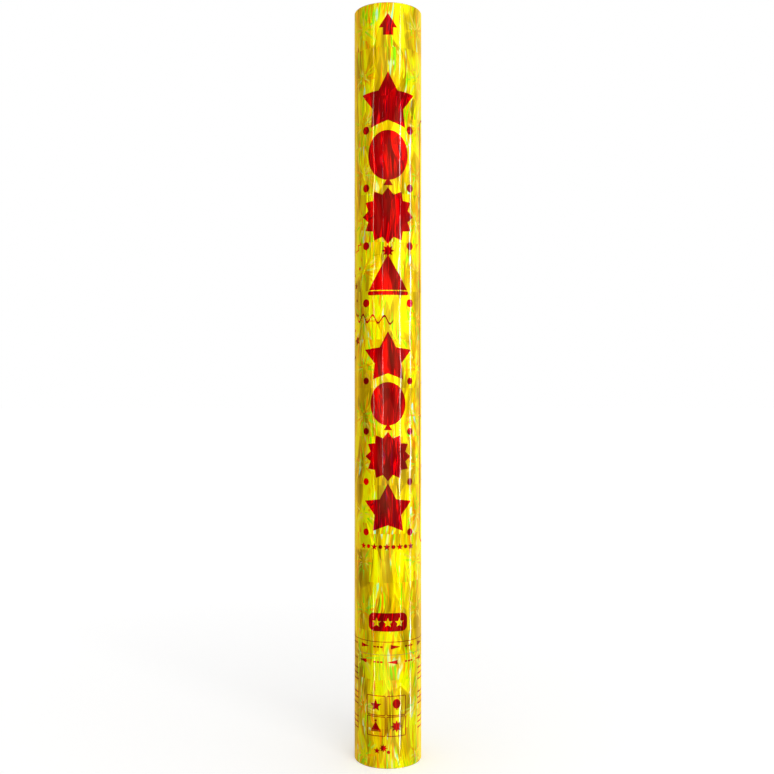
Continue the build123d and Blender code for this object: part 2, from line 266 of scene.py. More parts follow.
def film_rays(tree, facets, around, along, shown):
    """Bursts of rays over the rest, each ray with its own start, end and colour."""
    off_turn = add(tree, "Math", {0: around, 1: burst_turn}, operation="SUBTRACT")
    off_height = add(tree, "Math", {0: along, 1: burst_height}, operation="SUBTRACT")
    beside = add(tree, "Math", {0: off_turn, 1: -burst_spread / 2, 2: burst_spread / 2},
                 operation="WRAP")
    above = add(tree, "Math", {0: off_height, 1: -plate_height / 2, 2: plate_height / 2},
                operation="WRAP")
    from_centre = add(tree, "CombineXYZ", {0: beside, 1: above})
    reach = add(tree, "VectorMath", {0: from_centre}, operation="LENGTH").outputs["Value"]

    # Number of the ray, which differs from burst to burst, and what is drawn for it
    ray_angle = add(tree, "Math", {0: above, 1: beside}, operation="ARCTAN2")
    ray_count = add(tree, "Math", {0: ray_angle, 1: burst_rays / (2 * math.pi)}, operation="MULTIPLY")
    ray_number = add(tree, "Math", {0: ray_count}, operation="FLOOR")
    for off_start, pitch, step in ((off_turn, burst_spread, burst_turn_step),
                                   (off_height, plate_height, burst_height_step)):
        bursts = add(tree, "Math", {0: off_start, 1: 1 / pitch}, operation="MULTIPLY")
        burst_number = add(tree, "Math", {0: bursts}, operation="ROUND")
        ray_number = add(tree, "Math", {0: burst_number, 1: step, 2: ray_number},
                         operation="MULTIPLY_ADD")
    ray_lot = add(tree, "TexWhiteNoise", {"W": ray_number}, noise_dimensions="1D")
    ray_draw = add(tree, "SeparateColor", {0: ray_lot.outputs["Color"]})

    # Share of the ray along its length and across its width
    ray_end = add(tree, "MapRange", {0: ray_draw.outputs[0], 3: ray_shortest * burst_reach, 4: burst_reach})
    ray_share = add(tree, "MapRange", {0: ray_draw.outputs[2], 3: ray_first_start, 4: ray_last_start})
    ray_start = add(tree, "Math", {0: ray_end, 1: ray_share}, operation="MULTIPLY")
    ray_fade = add(tree, "MapRange", {0: reach, 1: ray_start, 2: ray_end, 3: 1.0, 4: 0.0})
    ray_from = add(tree, "Math", {0: reach, 1: ray_start}, operation="GREATER_THAN")
    ray_long = add(tree, "Math", {0: ray_fade, 1: ray_from}, operation="MULTIPLY")
    ray_side = add(tree, "Math", {0: ray_count, 1: 0.5}, operation="PINGPONG")
    ray_off = add(tree, "Math", {0: 0.5, 1: ray_side}, operation="SUBTRACT")
    ray_arc = add(tree, "Math", {0: reach, 1: 2 * math.pi / burst_rays}, operation="MULTIPLY")
    ray_gap = add(tree, "Math", {0: ray_off, 1: ray_arc}, operation="MULTIPLY")
    ray_line = add(tree, "MapRange", {0: ray_gap, 1: ray_width / 4, 2: 3 * ray_width / 4, 3: 1.0, 4: 0.0})
    ray_here = add(tree, "Math", {0: ray_long, 1: ray_line}, operation="MULTIPLY")
    ray_tone = add(tree, "ValToRGB", {0: ray_draw.outputs[1]}, stops=facets["rays"])
    return add(tree, "Mix", {0: ray_here, 6: shown, 7: ray_tone}, data_type="RGBA").outputs[2]


def film_emboss(tree, facets):
    """Colour, roughness and height of the holographic film, one pattern round the whole tube."""
    around, along, leaning, plated = film_sheets(tree)

    # Soft bands, broad shards and the splinters across them set the tone
    bands = add(tree, "TexNoise", {"Vector": laid_out(tree, leaning, "bands"), "Scale": 1.0,
                                   "Detail": 1.0}, noise_dimensions="2D")
    shard_place = laid_out(tree, leaning, "shards")
    shards, shard_draw = cells(tree, shard_place)
    splinter_draw = cells(tree, laid_out(tree, plated, "splinters"))[1]
    soft = add(tree, "MapRange", {0: bands, 1: noise_low, 2: noise_high, 4: band_share})
    broad = add(tree, "Math", {0: shard_draw.outputs[0], 1: shard_share, 2: soft},
                operation="MULTIPLY_ADD")
    mixed = add(tree, "Math", {0: splinter_draw.outputs[0], 1: splinter_share, 2: broad},
                operation="MULTIPLY_ADD")
    shown = add(tree, "ValToRGB", {0: mixed}, stops=facets["shards"]).outputs[0]
    shown = film_strands(tree, facets, leaning, plated, shown)
    shown = film_rays(tree, facets, around, along, shown)

    # Fine streaks of brightness along the draw of the film
    streaks = add(tree, "TexNoise", {"Vector": laid_out(tree, leaning, "streaks"), "Scale": 1.0,
                                     "Detail": 3.0}, noise_dimensions="2D")
    shade = add(tree, "ValToRGB", {0: streaks}, stops=((noise_low, "ECECEC"), (noise_high, "FFFFFF")))
    colour = add(tree, "Mix", {0: 1.0, 6: shown, 7: shade}, data_type="RGBA",
                 blend_type="MULTIPLY").outputs[2]

    # Each shard has its own roughness and its own slope
    roughness = add(tree, "MapRange", {0: shard_draw.outputs[1], 3: facet_bright, 4: facet_dull})
    slope = add(tree, "VectorMath", {0: shards.outputs["Color"], 1: (0.5, 0.5, 0.5)},
                operation="SUBTRACT")
    off_cell = add(tree, "VectorMath", {0: shard_place, 1: shards.outputs["Position"]},
                   operation="SUBTRACT")
    height = add(tree, "VectorMath", {0: slope, 1: off_cell}, operation="DOT_PRODUCT").outputs["Value"]
    return colour, roughness, height


def film_surface(name, facets, gloss, low_gloss, sheen):
    """Metallised polyester film: a gold mirror broken into embossed shards, with a golden haze at a low
    angle, under a clear face that shows the lamps as thin white lines. The face has its gloss where the
    film is pulled tight, and its low gloss all over where it is seen at a low angle. Ink on it is a
    clear red, so the shards shine through."""
    material, tree, shader = surface(name, metallic=0.55, specular_ior_level=0.0,
                                     coat_roughness=0.05, coat_ior=1.64,
                                     sheen_weight=sheen, sheen_roughness=0.28,
                                     sheen_tint=linear("F0C828"))
    colour, roughness, height = film_emboss(tree, facets)
    place = add(tree, "TexCoord").outputs["Object"]
    pull_place = add(tree, "VectorMath", {0: place, 1: (1 / pull_width, 1 / pull_width, 1 / pull_height)},
                     operation="MULTIPLY")
    pull = add(tree, "TexNoise", {"Vector": pull_place, "Scale": 1.0, "Detail": 1.0})
    face = add(tree, "MapRange", {0: pull, 1: pull_slack, 2: pull_tight, 3: slack_gloss * gloss, 4: gloss})
    low = add(tree, "LayerWeight", {"Blend": 0.5}).outputs["Facing"]
    shine = add(tree, "MapRange", {0: low, 1: low_start, 2: low_full, 3: face, 4: low_gloss})
    bump = add(tree, "Bump", {"Strength": 1.0, "Distance": facet_depth, "Height": height})
    link(tree, shader, {"Base Color": colour, "Roughness": roughness, "Coat Weight": shine, "Normal": bump})
    return material


# Moulded plastic: its grain is drawn coarser than real so that it shows, and spreads the roughness
flow_mark = 14 * mm
mould_grain = 0.5 * mm
mould_depth = 0.02 * mm
mould_brighter = 0.08
mould_duller = 0.1


def moulded(name, colour, dark_colour, roughness, grain=mould_grain, depth=mould_depth):
    """Moulded plastic or rubber: nearly even colour, a faint cloud of flow marks and a fine
    spark-eroded grain that breaks up its shine."""
    material, tree, shader = surface(name, roughness=roughness)
    place = add(tree, "TexCoord").outputs["Object"]
    flow = add(tree, "TexNoise", {"Vector": place, "Scale": 1 / flow_mark, "Detail": 3.0})
    tint = add(tree, "ValToRGB", {0: flow}, stops=((noise_low, dark_colour), (noise_high, colour)))
    pits = add(tree, "TexNoise", {"Vector": place, "Scale": 1 / grain, "Detail": 2.0})
    bump = add(tree, "Bump", {"Strength": 0.5, "Distance": depth, "Height": pits})
    dull = add(tree, "MapRange", {0: pits, 3: roughness - mould_brighter, 4: roughness + mould_duller})
    link(tree, shader, {"Base Color": tint, "Roughness": dull, "Normal": bump})
    return material


# Paper: its fibres are drawn coarser than real so that they show, and a few of them show dark
pulp_cloud = 6 * mm
pulp_fibre = 0.4 * mm
pulp_depth = 0.08 * mm
fibre_length = 5
fleck_start = 0.62
fleck_full = 0.78
fleck_share = 0.6

# The edge of a wound ply is a dark line over a share of its thickness
ply_line = 0.25
ply_dark = 0.55


def pulp(name, colour, dark_colour, fleck_colour, fibre=pulp_fibre, ply=None):
    """Paper or card: matt, clouded by its pulp, with stray dark fibres, and where it is wound the
    edges of its plies show as rings."""
    material, tree, shader = surface(name, roughness=0.85, specular_ior_level=0.3)
    place = add(tree, "TexCoord").outputs["Object"]
    cloud = add(tree, "TexNoise", {"Vector": place, "Scale": 1 / pulp_cloud, "Detail": 5.0})
    tint = add(tree, "ValToRGB", {0: cloud}, stops=((noise_low, dark_colour), (noise_high, colour)))
    long = fibre_length * fibre
    strand_place = add(tree, "VectorMath", {0: place, 1: (1 / fibre, 1 / fibre, 1 / long)},
                       operation="MULTIPLY")
    strands = add(tree, "TexNoise", {"Vector": strand_place, "Scale": 1.0, "Detail": 4.0,
                                     "Roughness": 0.7})
    fleck = add(tree, "MapRange", {0: strands, 1: fleck_start, 2: fleck_full, 4: fleck_share})
    shown = add(tree, "Mix", {0: fleck, 6: tint, 7: linear(fleck_colour)}, data_type="RGBA").outputs[2]
    rise = strands
    if ply:
        flat = add(tree, "VectorMath", {0: place, 1: (1.0, 1.0, 0.0)}, operation="MULTIPLY")
        radius = add(tree, "VectorMath", {0: flat}, operation="LENGTH").outputs["Value"]
        count = add(tree, "Math", {0: radius, 1: 1 / ply}, operation="MULTIPLY")
        rise = add(tree, "Math", {0: count, 1: 1.0}, operation="PINGPONG")
        edge = add(tree, "MapRange", {0: rise, 1: 0.0, 2: ply_line, 3: ply_dark, 4: 0.0})
        shown = add(tree, "Mix", {0: edge, 6: shown, 7: linear(fleck_colour)},
                    data_type="RGBA").outputs[2]
    bump = add(tree, "Bump", {"Strength": 0.4, "Distance": pulp_depth, "Height": rise})
    link(tree, shader, {"Base Color": shown, "Normal": bump})
    return material


# Metal: the lines round it are drawn coarser than real so that they show, and spread the roughness
drawn_line = 0.3 * mm
drawn_depth = 0.02 * mm
line_length = 40
drawn_brighter = 0.08
drawn_duller = 0.12


def drawn_metal(name, colour, dark_colour, roughness, line=drawn_line, metallic=1.0):
    """Drawn or ground metal: bright, with fine lines round it left by the die or the wheel. A metal
    coat on tape is thinner, so that less of it is mirror."""
    material, tree, shader = surface(name, metallic=metallic, roughness=roughness)
    place = add(tree, "TexCoord").outputs["Object"]
    long = line_length * line
    line_place = add(tree, "VectorMath", {0: place, 1: (1 / long, 1 / long, 1 / line)},
                     operation="MULTIPLY")
    lines = add(tree, "TexNoise", {"Vector": line_place, "Scale": 1.0, "Detail": 4.0})
    tint = add(tree, "ValToRGB", {0: lines}, stops=((noise_low, dark_colour), (noise_high, colour)))
    dull = add(tree, "MapRange", {0: lines, 3: roughness - drawn_brighter, 4: roughness + drawn_duller})
    bump = add(tree, "Bump", {"Strength": 0.3, "Distance": drawn_depth, "Height": lines})
    link(tree, shader, {"Base Color": tint, "Roughness": dull, "Normal": bump})
    return material


# Finishes, by the record's material slots; the film's ink has a duller face that stays so at a low angle
gold_film = film_surface("metallised_polyester_film", gold_facets, gloss=0.64, low_gloss=1.0, sheen=1.0)
red_ink = film_surface("red_ink_on_film", red_facets, gloss=0.34, low_gloss=0.34, sheen=0.1)
finishes = {
    "wound_paper": pulp("wound_kraft_board", "C2A079", "A98660", "6E5032", fibre=0.35 * mm, ply=0.4 * mm),
    "pressed_card": pulp("pressed_grey_card", "A99A84", "938470", "5E5344", fibre=0.5 * mm),
    "moulded_grey": moulded("moulded_grey_polyethylene", "B4B8BC", "A8ACB2", 0.42),
    "moulded_black": moulded("moulded_black_abs", "26272A", "1E1F22", 0.38),
    "acetal_white": moulded("machined_white_acetal", "ECEBE4", "E2E0D8", 0.3, 0.6 * mm, 0.01 * mm),
    "black_rubber": moulded("moulded_black_rubber", "1C1C1D", "141415", 0.62, 0.4 * mm, 0.03 * mm),
    "drawn_aluminium": drawn_metal("drawn_aluminium", "DADCDD", "C3C6C9", 0.3),
    "ground_steel": drawn_metal("ground_steel", "C4C5C7", "A5A7AA", 0.2, line=0.15 * mm),
    "silver_tape": drawn_metal("silver_metallised_tape", "DCE0E6", "C4C8D0", 0.34, line=0.5 * mm,
                               metallic=0.45),
}

# Dyed papers of the charge: colour, darker cloud and fibre
paper_dyes = {
    "red": ("D3161F", "BC0F18", "8E0A12"),
    "gold": ("F0B41E", "DDA012", "B07C08"),
    "green": ("1E9A3A", "16842F", "0E5E22"),
    "blue": ("1F56C4", "1848AA", "10327C"),
}
confetti_colours = ("red", "gold", "green", "blue")
for colour in confetti_colours:
    finishes[f"{colour}_slips"] = pulp(f"{colour}_tissue", *paper_dyes[colour])
for colour in ("red", "green"):
    finishes[f"{colour}_tape"] = pulp(f"{colour}_crepe_tape", *paper_dyes[colour])


# Turn that stands a flat shape up, to face the front
upright = (math.pi / 2, 0, 0)


def finish_piece(piece, name, material, slot, body, *stands_for):
    """Names a piece made at the origin, gives it its finish and says what carries it."""
    piece.name = piece.data.name = name
    piece.data.materials.clear()
    piece.data.materials.append(material)
    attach(piece, body)
    if stands_for:
        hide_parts(*stands_for)


def choose(piece, kind, test):
    """Edit mode on a piece, with only the vertices, edges or faces that pass the test selected."""
    bpy.context.view_layer.objects.active = piece
    bpy.ops.object.mode_set(mode="EDIT")
    bpy.ops.mesh.select_mode(type=kind)
    bpy.ops.mesh.select_all(action="DESELECT")
    bpy.ops.object.mode_set(mode="OBJECT")
    parts = {"VERT": piece.data.vertices, "EDGE": piece.data.edges, "FACE": piece.data.polygons}[kind]
    for part in parts:
        part.select = bool(test(part))
    bpy.ops.object.mode_set(mode="EDIT")


def new_primitive(kind, **sizes):
    """Adds a primitive with nothing else selected."""
    bpy.ops.object.select_all(action="DESELECT")
    getattr(bpy.ops.mesh, f"primitive_{kind}_add")(**sizes)
    return bpy.context.object


def settle(piece):
    """Leaves edit mode and puts the piece's place, turn and scale in its mesh."""
    if bpy.context.mode != "OBJECT":
        bpy.ops.object.mode_set(mode="OBJECT")
    bpy.ops.object.select_all(action="DESELECT")
    piece.select_set(True)
    bpy.context.view_layer.objects.active = piece
    bpy.ops.object.transform_apply(location=True, rotation=True, scale=True)


def cut_across(piece, axis, cuts):
    """Cuts the edges that run along an axis, 0 for X or 2 for Z, into one part more than the cuts."""
    points = piece.data.vertices
    choose(piece, "EDGE", lambda edge: abs(points[edge.vertices[0]].co[axis]
                                           - points[edge.vertices[1]].co[axis]) > least_run)
    bpy.ops.mesh.subdivide(number_cuts=cuts)
    settle(piece)


def join(pieces):
    """Joins pieces into the first."""
    bpy.ops.object.select_all(action="DESELECT")
    for piece in pieces:
        piece.select_set(True)
    bpy.context.view_layer.objects.active = pieces[0]
    bpy.ops.object.join()
    return pieces[0]


def thicken(piece, thickness, offset):
    """Gives a sheet its thickness."""
    bpy.context.view_layer.objects.active = piece
    wall = piece.modifiers.new("wall", "SOLIDIFY")
    wall.thickness = thickness
    wall.offset = offset
    wall.use_even_offset = False
    bpy.ops.object.modifier_apply(modifier=wall.name)


def own_copy(piece):
    """Copy of a piece with its own mesh."""
    other = piece.copy()
    other.data = piece.data.copy()
    bpy.context.scene.collection.objects.link(other)
    return other


def film_face(angle, height):
    """Radius of the film's outer face, the angle counted from the front."""
    wander = sum(share * math.sin(waves * angle + 2 * math.pi * height / rise + start)
                 for waves, rise, start, share in slack_waves)
    before_edge = (lap_edge - angle) % (2 * math.pi)
    lap = 0.0
    if before_edge < lap_angle:
        lap = min(1.0, (lap_angle - before_edge) / (lap_climb * lap_angle))
    return film_radius - film_slack + film_slack * wander + lap_lift * lap


def lay_on_film(piece, lift=0.0):
    """Moves each point of a piece out to the film's face, keeping its angle and height."""
    for point in piece.data.vertices:
        angle = math.atan2(point.co.x, -point.co.y)
        radius = film_face(angle, point.co.z) + lift
        point.co.x, point.co.y = radius * math.sin(angle), -radius * math.cos(angle)


def film_sleeve(name, low, high, body, node):
    """Film round one half of the tube."""
    sleeve = new_primitive("cylinder", vertices=film_sides, radius=film_radius, depth=high - low,
                           end_fill_type="NOTHING", location=(0, 0, (low + high) / 2))
    cut_across(sleeve, 2, round((high - low) / film_ring_pitch) - 1)
    lay_on_film(sleeve)
    thicken(sleeve, film_thickness, -1)
    bpy.ops.object.shade_smooth_by_angle(angle=smooth_angle)
    finish_piece(sleeve, name, gold_film, "metallised_film", body, node)


film_sleeve("barrel_film_wrap", barrel_low.z, barrel_high.z, "barrel", "barrel_film")
film_sleeve("grip_film_wrap", grip_low.z, grip_high.z, "grip", "grip_film")


# Ink on the film, cut at a grid that is fine enough to bend, and bare film over it as stars
ink_lift = 0.015 * mm
ink_thickness = 0.02 * mm
ink_column_pitch = 1.6 * mm
ink_row_pitch = 4 * mm
star_gap = 0.01 * mm

# Cuts to a turn of a squiggle
wave_cuts = 12

# Balloon and hat, in shares of their radius
balloon_stretch = 1.18
knot_drop = 1.3
knot_radius = 0.26
cone_drop = 0.1
cone_radius = 1.25
pompom_rise = 1.35
pompom_radius = 0.34
pompom_depth = 0.6
brim_drop = 0.88
brim_width = 2.3
brim_height = 0.22
brim_corner = 0.1


def stand_up(shape, across, up, turn):
    """Turns a flat ink shape, stands it up and moves it to its place, across along X and up along Z."""
    shape.rotation_euler = (0, 0, turn)
    settle(shape)
    shape.rotation_euler = upright
    shape.location = (across, 0, up)
    settle(shape)
    return shape


def ink_round(across, up, radius, corners, turn=0.0, stretch=1.0):
    """Round or pointed shape with that many corners, the first one upwards."""
    shape = new_primitive("circle", vertices=corners, radius=radius, fill_type="NGON")
    shape.scale = (1, stretch, 1)
    return stand_up(shape, across, up, turn)


def ink_star(across, up, radius, points, depth, turn=0.0):
    """Star whose inner corners stand at a share of its radius."""
    shape = new_primitive("circle", vertices=2 * points, radius=radius, fill_type="NGON")
    choose(shape, "VERT", lambda point: point.index % 2)
    bpy.ops.transform.resize(value=(depth, depth, depth))
    settle(shape)
    return stand_up(shape, across, up, turn)


def ink_bar(across, up, width, height, corner=0.0, line=0.0):
    """Bar with its corners rounded, or only the line round it."""
    shape = new_primitive("plane", size=1.0, location=(across, 0, up), rotation=upright)
    shape.scale = (width, height, 1)
    settle(shape)
    if corner:
        choose(shape, "VERT", lambda point: True)
        bpy.ops.mesh.bevel(offset=corner, offset_type="OFFSET", segments=6, affect="VERTICES")
        settle(shape)
    if line:
        choose(shape, "FACE", lambda face: True)
        bpy.ops.mesh.inset(thickness=line)
        bpy.ops.mesh.delete(type="FACE")
        settle(shape)
    return shape


def ink_wave(across, up, length, swing, width, turns, turn):
    """Squiggle of ribbon."""
    shape = new_primitive("plane", size=1.0)
    shape.scale = (length, width, 1)
    settle(shape)
    cut_across(shape, 0, wave_cuts * turns)
    for point in shape.data.vertices:
        point.co.y += swing * math.sin(2 * math.pi * turns * point.co.x / length)
    return stand_up(shape, across, up, turn)


def ink_arrow(up, length, head, width, shaft):
    """Plain arrow upwards."""
    radius = width / math.sqrt(3)
    return [ink_round(0, up + length / 2 - head * 2 / 3, radius, corners=3, stretch=head / (1.5 * radius)),
            ink_bar(0, up - head / 2, shaft, length - head)]


def ink_balloon(across, up, radius):
    """Balloon with its knot."""
    return [ink_round(across, up, radius, corners=40, stretch=balloon_stretch),
            ink_round(across, up - knot_drop * radius, knot_radius * radius, corners=3)]


def ink_hat(across, up, radius):
    """Cone hat with a pompom and a brim."""
    return [ink_round(across, up - cone_drop * radius, cone_radius * radius, corners=3),
            ink_star(across, up + pompom_rise * radius, pompom_radius * radius, points=8,
                     depth=pompom_depth),
            ink_bar(across, up - brim_drop * radius, brim_width * radius, brim_height * radius,
                    corner=brim_corner * radius)]


def wrap_ink(pieces, name, body, material, lift):
    """Joins flat ink shapes, cuts them fine enough to bend and lays them on the film."""
    sheet = join(pieces)
    bpy.ops.object.mode_set(mode="EDIT")
    half_round = math.pi * film_radius
    columns = [-half_round + step * ink_column_pitch
               for step in range(1, int(2 * half_round / ink_column_pitch))]
    heights = [corner[2] for corner in sheet.bound_box]
    low, high = min(heights), max(heights)
    rows = [low + step * ink_row_pitch for step in range(1, int((high - low) / ink_row_pitch) + 1)]
    cuts = [((column, 0, 0), (1, 0, 0)) for column in columns]
    cuts += [((0, 0, row), (0, 0, 1)) for row in rows]
    for point, normal in cuts:
        bpy.ops.mesh.select_all(action="SELECT")
        bpy.ops.mesh.bisect(plane_co=point, plane_no=normal)
    settle(sheet)
    for point in sheet.data.vertices:
        angle = point.co.x / film_radius
        point.co.x, point.co.y = film_radius * math.sin(angle), -film_radius * math.cos(angle)
    lay_on_film(sheet, lift)
    thicken(sheet, ink_thickness, 1)
    bpy.ops.object.shade_smooth_by_angle(angle=smooth_angle)
    finish_piece(sheet, name, material, "metallised_film", body)


# Arrow at the muzzle
arrow_height = 544 * mm
arrow_length = 15.8 * mm
arrow_head = 10.3 * mm
arrow_width = 13.8 * mm
arrow_shaft = 7.3 * mm
barrel_ink = ink_arrow(arrow_height, arrow_length, arrow_head, arrow_width, arrow_shaft)

# Column of party shapes: kind, height in millimetres and share of full size
party_column = (
    ("star", 489, 1.0), ("balloon", 446.5, 1.0), ("rosette", 404, 1.0), ("hat", 362, 1.0),
    ("star", 302, 0.87), ("balloon", 265, 0.87), ("rosette", 228, 0.87), ("star", 191, 0.87),
)
star_radius = 22.4 * mm
star_drop = 2 * mm
star_depth = 0.54
rosette_radius = 20.8 * mm
rosette_depth = 0.77
balloon_radius = 15.5 * mm
balloon_rise = 1.9 * mm
hat_radius = 13.8 * mm
hat_drop = 2.2 * mm
dot_radius = 3 * mm
dot_drop = 21.5 * mm
dot_side = 17.5 * mm


def party_shape(kind, up, share):
    """One shape of the column, and a dot below it at each side."""
    if kind == "star":
        shapes = [ink_star(0, up - star_drop * share, star_radius * share, points=5, depth=star_depth)]
    elif kind == "rosette":
        shapes = [ink_star(0, up, rosette_radius * share, points=12, depth=rosette_depth)]
    elif kind == "balloon":
        shapes = ink_balloon(0, up + balloon_rise * share, balloon_radius * share)
    else:
        shapes = ink_hat(0, up - hat_drop * share, hat_radius * share)
    return shapes + [ink_round(side * dot_side, up - dot_drop * share, dot_radius * share, corners=24)
                     for side in (-1, 1)]


for kind, height, share in party_column:
    barrel_ink += party_shape(kind, height * mm, share)

# Squiggle between the two groups
barrel_ink.append(ink_wave(-14 * mm, 329 * mm, length=36 * mm, swing=2.8 * mm, width=1.6 * mm, turns=4,
                           turn=-0.08))

# Row of small stars and dots
row_height = 162 * mm
row_pitch = 4.8 * mm
row_middle = -0.8 * mm
row_star = 2.8 * mm
row_dot = 1.5 * mm
small_star_depth = 0.45
for place in range(-4, 5):
    across = row_middle + place * row_pitch
    if place % 2:
        barrel_ink.append(ink_round(across, row_height, row_dot, corners=20))
    else:
        barrel_ink.append(ink_star(across, row_height, row_star, points=5, depth=small_star_depth))

# Badge with round corners
badge_height = 107 * mm
barrel_ink.append(ink_bar(0, badge_height, width=30 * mm, height=13.5 * mm, corner=4.5 * mm))

# Line round the tube, whose ends nearly meet behind
ring_height = 92.6 * mm
ring_share = 0.998
barrel_ink.append(ink_bar(0, ring_height, width=ring_share * 2 * math.pi * film_radius, height=0.5 * mm))

# Slim wedges at both sides of the twist seam, with dashes between
barrel_wedge_height = 88.9 * mm
grip_wedge_height = 77.8 * mm
wedge_start = 4.6 * mm
wedge_pitch = 24.1 * mm
wedge_radius = 1.9 * mm
wedge_stretch = 2.7
dash_pitch = 2.6 * mm
dash_length = 1.9 * mm
dash_width = 1.2 * mm


def ink_wedges(up, points):
    """Row of wedges round the tube, pointing right (1) or left (-1)."""
    row = []
    for place in range(-3, 3):
        across = wedge_start + place * wedge_pitch
        row.append(ink_round(across, up, wedge_radius, corners=3, turn=-points * math.pi / 2,
                             stretch=wedge_stretch))
        for dash in (-1, 0, 1):
            row.append(ink_bar(across + wedge_pitch / 2 + dash * dash_pitch, up, dash_length, dash_width))
    return row


barrel_ink += ink_wedges(barrel_wedge_height, 1)

# Plain outlined panel round the right side
barrel_ink.append(ink_bar(50 * mm, 321 * mm, width=41 * mm, height=317 * mm, corner=7 * mm, line=1.3 * mm))

# Confetti beside the squiggle: dots by place and radius in millimetres, two stars and a curl
for across, up, radius in ((-27.2, 331.7, 1.1), (-28.9, 343, 1.1), (-24.6, 366.5, 1.2),
                           (-33.4, 362, 1.2), (-33.4, 321, 1.2), (-32.8, 301, 1.3)):
    barrel_ink.append(ink_round(across * mm, up * mm, radius * mm, corners=20))
barrel_ink.append(ink_star(-28.2 * mm, 313.4 * mm, radius=4 * mm, points=5, depth=0.5, turn=0.3))
barrel_ink.append(ink_star(-30.6 * mm, 354 * mm, radius=2.8 * mm, points=5, depth=0.5, turn=-0.2))
barrel_ink.append(ink_wave(-26.5 * mm, 382 * mm, length=10 * mm, swing=1.2 * mm, width=1.2 * mm, turns=2,
                           turn=0.9))

# Confetti scattered at the sides, two thirds of it on the left: nearest, farthest, lowest and highest
scatter = random.Random(7)
scatter_count = 72
scatter_left = (-37 * mm, -66 * mm, 292 * mm, 402 * mm)
scatter_right = (32 * mm, 68 * mm, 175 * mm, 470 * mm)
scatter_small = 0.9 * mm
scatter_large = 1.9 * mm
for place in range(scatter_count):
    near, far, low, high = scatter_left if place % 3 else scatter_right
    across = scatter.uniform(near, far)
    up = scatter.uniform(low, high)
    size = scatter.uniform(scatter_small, scatter_large)
    turn = scatter.uniform(0, math.pi)
    pick = place % 4
    if pick == 0:
        barrel_ink.append(ink_round(across, up, size, corners=20))
    elif pick == 1:
        barrel_ink.append(ink_star(across, up, 1.5 * size, points=5, depth=0.42, turn=turn))
    elif pick == 2:
        barrel_ink.append(ink_round(across, up, 1.2 * size, corners=4, turn=turn, stretch=0.7))
    else:
        barrel_ink.append(ink_wave(across, up, length=6 * size, swing=0.6 * size, width=0.5 * size,
                                   turns=2, turn=turn))
wrap_ink(barrel_ink, "barrel_print", "barrel", red_ink, ink_lift)

# Bare film shows as three stars on the badge
badge_star = 3.6 * mm
badge_star_pitch = 8.5 * mm
badge_star_drop = 0.3 * mm
badge_stars = [ink_star(side * badge_star_pitch, badge_height - badge_star_drop, badge_star, points=5,
                        depth=small_star_depth) for side in (-1, 0, 1)]
wrap_ink(badge_stars, "badge_stars", "barrel", gold_film, ink_lift + ink_thickness + star_gap)

# Four plain boxes on the grip with a party shape in each
grip_ink = ink_wedges(grip_wedge_height, -1)
box_left = -9.2 * mm
box_right = 6.4 * mm
box_top = 46 * mm
box_bottom = 30.8 * mm
box_width = 14.9 * mm
box_height = 14.7 * mm
box_corner = 1.2 * mm
box_line = 0.6 * mm
box_star = 4.6 * mm
spark_points = 8
spark_depth = 0.55
for across in (box_left, box_right):
    for up in (box_top, box_bottom):
        grip_ink.append(ink_bar(across, up, box_width, box_height, box_corner, box_line))
grip_ink.append(ink_star(box_left, box_top, box_star, points=5, depth=small_star_depth))
grip_ink += ink_balloon(box_right, box_top + 1.4 * mm, radius=3 * mm)
grip_ink += ink_hat(box_left, box_bottom - 0.4 * mm, radius=3.4 * mm)
grip_ink.append(ink_star(box_right, box_bottom, box_star, points=spark_points, depth=spark_depth))

# Ruled lines at the grip's sides, in blocks of three
rule_side = 33 * mm
rule_length = 13 * mm
rule_width = 1 * mm
rule_pitch = 4.2 * mm
rule_blocks = (70.5 * mm, 52.5 * mm, 34.5 * mm)
for side in (-1, 1):
    for block_top in rule_blocks:
        for rule in range(3):
            up = block_top - rule * rule_pitch
            grip_ink.append(ink_bar(side * rule_side, up, rule_length, rule_width))

# Three small marks near the foot
grip_ink.append(ink_star(-8.2 * mm, 13 * mm, radius=2.6 * mm, points=5, depth=small_star_depth))
grip_ink.append(ink_star(-3.4 * mm, 15 * mm, radius=3.2 * mm, points=spark_points, depth=spark_depth))
grip_ink.append(ink_round(0.4 * mm, 12.2 * mm, radius=1.3 * mm, corners=20))
wrap_ink(grip_ink, "grip_print", "grip", red_ink, ink_lift)


# Room for the charge in the barrel
charge_radius = 22.9 * mm
charge_gap = 0.5 * mm

# Tiers of loose slips, drawn thicker and fewer than tissue so that each one shows
slip_length = 52 * mm
slip_trim = 1.2 * mm
slip_thickness = 0.5 * mm
slip_pitch = 0.66 * mm
slip_folds = 4
slip_lift = 0.5 * mm
slip_shift = 0.4 * mm
slip_tilt = 0.008
slip_bow = 0.07 * mm
tier_count = 6
tier_bottom = min(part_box(f"confetti_{colour}")[0].z for colour in confetti_colours)

# Four stacks in the core of each tier, and four flat ones in a share of the room up to the wall
side_share = 0.75
core_side = charge_radius / math.sqrt(2) - charge_gap / 2
core_offset = (core_side + charge_gap) / 2
side_start = core_side + 1.5 * charge_gap
side_depth = (charge_radius - side_start) * side_share
side_width = 2 * math.sqrt(charge_radius ** 2 - (side_start + side_depth) ** 2)


